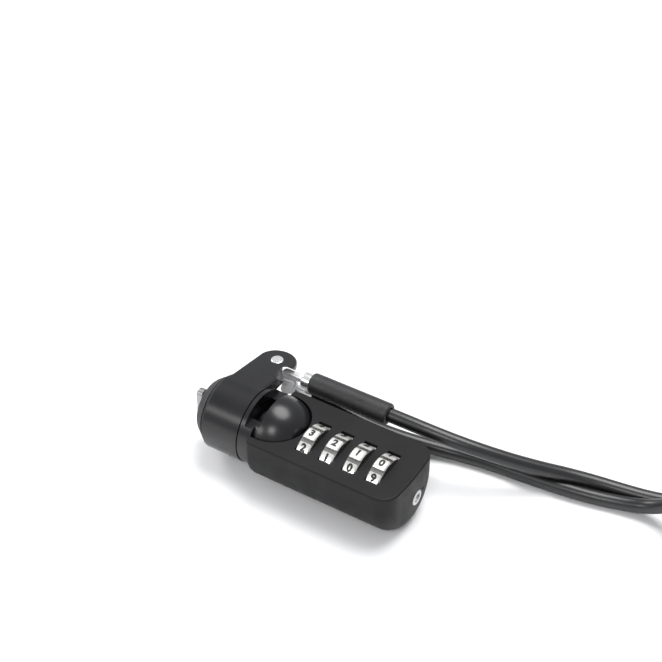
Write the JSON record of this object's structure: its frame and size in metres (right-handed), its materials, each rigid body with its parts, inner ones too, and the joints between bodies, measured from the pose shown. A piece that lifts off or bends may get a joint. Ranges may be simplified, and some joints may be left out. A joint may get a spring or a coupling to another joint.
{
  "type": "laptop cable lock",
  "caption": "Cylindrical combination lock with side dials, a domed swivel barrel with a slot T-bar in its nose, and a coated cable looped from a swivel collar.",
  "frame": {"origin": "centre of the nose's bearing face, on the lock axis", "axes": "+X along the lock axis from the nose to the tail, +Z out through the dial windows, +Y towards the cable's side"},
  "size_m": [0.1555, 0.0697, 0.0187],
  "materials": {
    "body_paint": "satin dark graphite paint",
    "gloss_black": "glossy black",
    "nose_rubber": "matte black rubber",
    "zinc_plate": "zinc-plated steel",
    "dial_nickel": "nickel-plated, with black digits",
    "bright_chrome": "polished",
    "hardened_steel": "satin steel",
    "brass_part": "turned brass",
    "sleeve_rubber": "matte black moulded sleeve",
    "cable_vinyl": "glossy black vinyl over steel cable",
    "tie_fabric": "black hook-and-loop strap",
    "black_oxide": "blackened steel",
    "spring_steel": "bright spring steel"
  },
  "bodies": {
    "barrel": {"barrel": "gloss_black", "nose_bumper": "nose_rubber", "nose_plate": "hardened_steel", "nose_screws": "zinc_plate"},
    "t_bar": {"t_bar": "hardened_steel", "t_bar_cam": "black_oxide", "cam_clip": "spring_steel"},
    "collar": {"swivel_collar": "gloss_black", "collar_bush": "brass_part", "pivot_rivet": "bright_chrome"},
    "cable": {"cable_link": "bright_chrome", "link_plate": "bright_chrome", "cable_ferrule": "bright_chrome", "return_ferrule": "bright_chrome", "cable_sleeve": "sleeve_rubber", "cable_lead": "cable_vinyl", "cable_return": "cable_vinyl", "cable_coil": "cable_vinyl", "coil_tie": "tie_fabric"},
    "body": {"body_housing": "body_paint", "base_cover": "body_paint", "cover_screws": "zinc_plate", "retaining_pins": "hardened_steel", "dial_spindle": "hardened_steel", "spindle_spacers": "brass_part", "detent_spring": "spring_steel", "reset_bezel": "bright_chrome"},
    "reset": {"reset_screw": "hardened_steel"},
    "dial_1": {"dial_1": "dial_nickel", "dial_hub_1": "brass_part"},
    "dial_2": {"dial_2": "dial_nickel", "dial_hub_2": "brass_part"},
    "dial_3": {"dial_3": "dial_nickel", "dial_hub_3": "brass_part"},
    "dial_4": {"dial_4": "dial_nickel", "dial_hub_4": "brass_part"}
  },
  "joints": [
    {"name": "t_bar_turn", "type": "hinge", "parent": "barrel", "child": "t_bar", "pos_m": [0, 0, 0], "axis": [1, 0, 0], "range_deg": [0, 90]},
    {"name": "collar_swivel", "type": "hinge", "parent": "barrel", "child": "collar", "pos_m": [0.0079, 0, 0], "axis": [1, 0, 0], "continuous": true},
    {"name": "cable_pivot", "type": "hinge", "parent": "collar", "child": "cable", "pos_m": [0.0079, 0.0144, 0], "axis": [0, 0, 1], "range_deg": [0, 90]},
    {"name": "body_swivel", "type": "hinge", "parent": "barrel", "child": "body", "pos_m": [0.017, 0, 0], "axis": [1, 0, 0], "continuous": true},
    {"name": "dial_1_spin", "type": "hinge", "parent": "body", "child": "dial_1", "pos_m": [0.0276, -0.0011, 0], "axis": [1, 0, 0], "continuous": true},
    {"name": "dial_2_spin", "type": "hinge", "parent": "body", "child": "dial_2", "pos_m": [0.03337, -0.0011, 0], "axis": [1, 0, 0], "continuous": true},
    {"name": "dial_3_spin", "type": "hinge", "parent": "body", "child": "dial_3", "pos_m": [0.03914, -0.0011, 0], "axis": [1, 0, 0], "continuous": true},
    {"name": "dial_4_spin", "type": "hinge", "parent": "body", "child": "dial_4", "pos_m": [0.04491, -0.0011, 0], "axis": [1, 0, 0], "continuous": true},
    {"name": "reset_turn", "type": "hinge", "parent": "body", "child": "reset", "pos_m": [0.0518, 0.0013, -0.0027], "axis": [1, 0, 0], "range_deg": [0, 90]}
  ]
}
